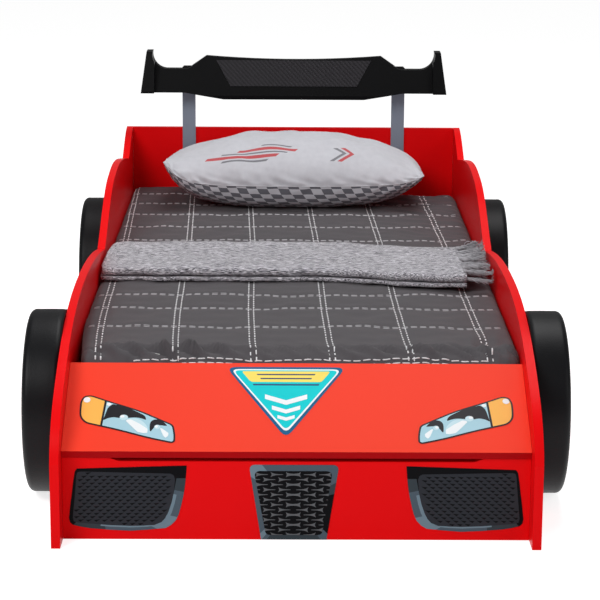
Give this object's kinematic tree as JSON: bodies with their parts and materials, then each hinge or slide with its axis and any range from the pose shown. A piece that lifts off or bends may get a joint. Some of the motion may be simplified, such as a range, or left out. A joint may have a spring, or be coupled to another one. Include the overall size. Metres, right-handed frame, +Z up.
{
  "type": "car bed for children",
  "caption": "Child's bed in the form of a racing car: painted board sides with curved wings, sloping hood, moulded wheels and rear wing, with mattress, quilt, pillow and throw.",
  "frame": {"origin": "on the floor under the middle of the bed's bounding box", "axes": "-Y towards the hood and bumper, +Y towards the headboard, +X to the right seen from the hood, +Z up"},
  "size_m": [1.103, 2.196, 0.712],
  "materials": {
    "red_board": "semi-gloss red paint on board",
    "hood_board": "semi-gloss bright orange-red paint on board",
    "plain_wood": "planed softwood",
    "tape": "woven webbing",
    "mattress_cover": "knitted ticking",
    "quilt_cloth": "dark grey plain weave with white running stitches",
    "pillow_cloth": "pale cotton, lower half in grey and white chequer",
    "knit": "heather grey knit",
    "wing_plastic": "satin black moulding",
    "insert": "carbon-pattern film",
    "bracket_metal": "blue-grey powder coat",
    "steel": "zinc-plated",
    "zinc": "die-cast, bright",
    "tyre_plastic": "black moulding with a fine leather-like grain",
    "rim_plastic": "silver-grey moulding",
    "lamp_print": "printed plate",
    "grille_print": "printed plate",
    "badge_print": "printed plate"
  },
  "bodies": {
    "bed": {"side_panel_left": "red_board", "side_panel_right": "red_board", "headboard": "red_board", "footboard": "red_board", "front_bumper": "red_board", "hood_panel": "hood_board", "hood_cleat_left": "plain_wood", "hood_cleat_right": "plain_wood", "side_rail_left": "plain_wood", "side_rail_right": "plain_wood", "slats": "plain_wood", "dowels": "plain_wood", "slat_tapes": "tape", "mattress": "mattress_cover", "quilt": "quilt_cloth", "spoiler_wing": "wing_plastic", "spoiler_insert": "insert", "spoiler_bracket_left": "bracket_metal", "spoiler_bracket_right": "bracket_metal", "bracket_screws": "steel", "wing_bolts": "steel", "wheel_screws": "steel", "rail_screws": "steel", "cleat_screws": "steel", "cam_pins": "steel", "cam_locks": "zinc", "wheel_tyres_left": "tyre_plastic", "wheel_tyres_right": "tyre_plastic", "wheel_rims_left": "rim_plastic", "wheel_rims_right": "rim_plastic", "hub_caps": "rim_plastic", "headlight_left": "lamp_print", "headlight_right": "lamp_print", "grille_left": "grille_print", "grille_right": "grille_print", "grille_centre": "grille_print", "badge_panel": "badge_print"},
    "loose_pillow": {"pillow": "pillow_cloth"},
    "loose_throw": {"throw": "knit", "throw_fringe": "knit"}
  },
  "joints": [
    {"name": "pillow_lift", "type": "slide", "parent": "bed", "child": "loose_pillow", "axis": [0, -0.6, 0.8], "range_m": [0, 0.5]},
    {"name": "throw_lift", "type": "slide", "parent": "bed", "child": "loose_throw", "axis": [0, 0, 1], "range_m": [0, 0.4]}
  ]
}
